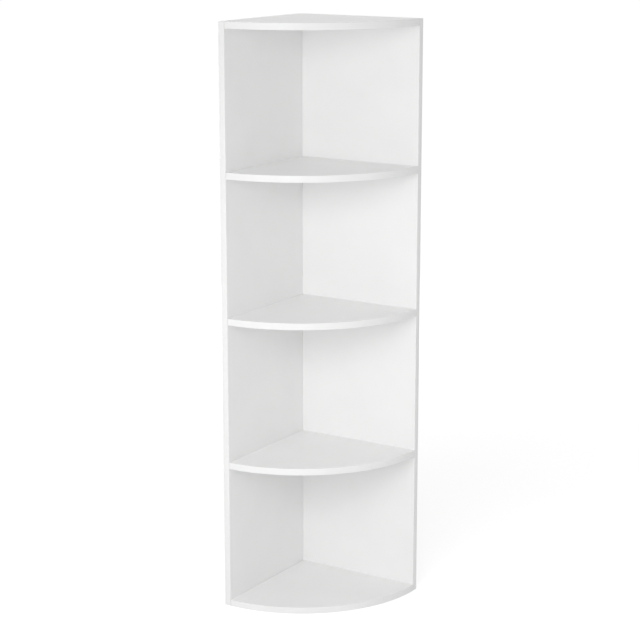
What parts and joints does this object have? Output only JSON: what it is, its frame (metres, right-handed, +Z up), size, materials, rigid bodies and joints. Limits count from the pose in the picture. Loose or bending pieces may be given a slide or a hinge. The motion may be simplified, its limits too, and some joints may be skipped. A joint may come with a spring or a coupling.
{
  "type": "corner shelf unit",
  "caption": "Tall open corner shelf unit: quarter-round boards screwed between two full-height panels that meet at a right angle, for standing in the corner of a room.",
  "frame": {"origin": "on the floor, under the middle of the square that the unit fills", "axes": "+Z up, +X along the right panel away from the wall corner, +Y towards the wall that the right panel stands against; the wall corner is at -X +Y and the open front faces +X -Y"},
  "size_m": [0.32, 0.32, 1.32],
  "materials": {
    "melamine_board": "chipboard faced in white melamine, satin",
    "edge_band": "white plastic edge strip, satin",
    "zinc_screw": "zinc-plated steel",
    "beech_dowel": "bare beech"
  },
  "bodies": {
    "root": {"left_panel": "melamine_board", "right_panel": "melamine_board", "left_panel_front_band": "edge_band", "left_panel_back_band": "edge_band", "left_panel_top_band": "edge_band", "right_panel_front_band": "edge_band", "right_panel_top_band": "edge_band", "bottom_board": "melamine_board", "bottom_board_band": "edge_band", "bottom_board_left_back_screw": "zinc_screw", "bottom_board_left_front_screw": "zinc_screw", "bottom_board_left_dowel": "beech_dowel", "bottom_board_right_back_screw": "zinc_screw", "bottom_board_right_front_screw": "zinc_screw", "bottom_board_right_dowel": "beech_dowel", "lower_shelf": "melamine_board", "lower_shelf_band": "edge_band", "lower_shelf_left_back_screw": "zinc_screw", "lower_shelf_left_front_screw": "zinc_screw", "lower_shelf_left_dowel": "beech_dowel", "lower_shelf_right_back_screw": "zinc_screw", "lower_shelf_right_front_screw": "zinc_screw", "lower_shelf_right_dowel": "beech_dowel", "middle_shelf": "melamine_board", "middle_shelf_band": "edge_band", "middle_shelf_left_back_screw": "zinc_screw", "middle_shelf_left_front_screw": "zinc_screw", "middle_shelf_left_dowel": "beech_dowel", "middle_shelf_right_back_screw": "zinc_screw", "middle_shelf_right_front_screw": "zinc_screw", "middle_shelf_right_dowel": "beech_dowel", "upper_shelf": "melamine_board", "upper_shelf_band": "edge_band", "upper_shelf_left_back_screw": "zinc_screw", "upper_shelf_left_front_screw": "zinc_screw", "upper_shelf_left_dowel": "beech_dowel", "upper_shelf_right_back_screw": "zinc_screw", "upper_shelf_right_front_screw": "zinc_screw", "upper_shelf_right_dowel": "beech_dowel", "top_board": "melamine_board", "top_board_band": "edge_band", "top_board_left_back_screw": "zinc_screw", "top_board_left_front_screw": "zinc_screw", "top_board_left_dowel": "beech_dowel", "top_board_right_back_screw": "zinc_screw", "top_board_right_front_screw": "zinc_screw", "top_board_right_dowel": "beech_dowel", "bottom_bay_corner_screw": "zinc_screw", "bottom_bay_corner_dowel": "beech_dowel", "lower_bay_corner_screw": "zinc_screw", "lower_bay_corner_dowel": "beech_dowel", "upper_bay_corner_screw": "zinc_screw", "upper_bay_corner_dowel": "beech_dowel", "top_bay_corner_screw": "zinc_screw", "top_bay_corner_dowel": "beech_dowel"}
  },
  "joints": []
}
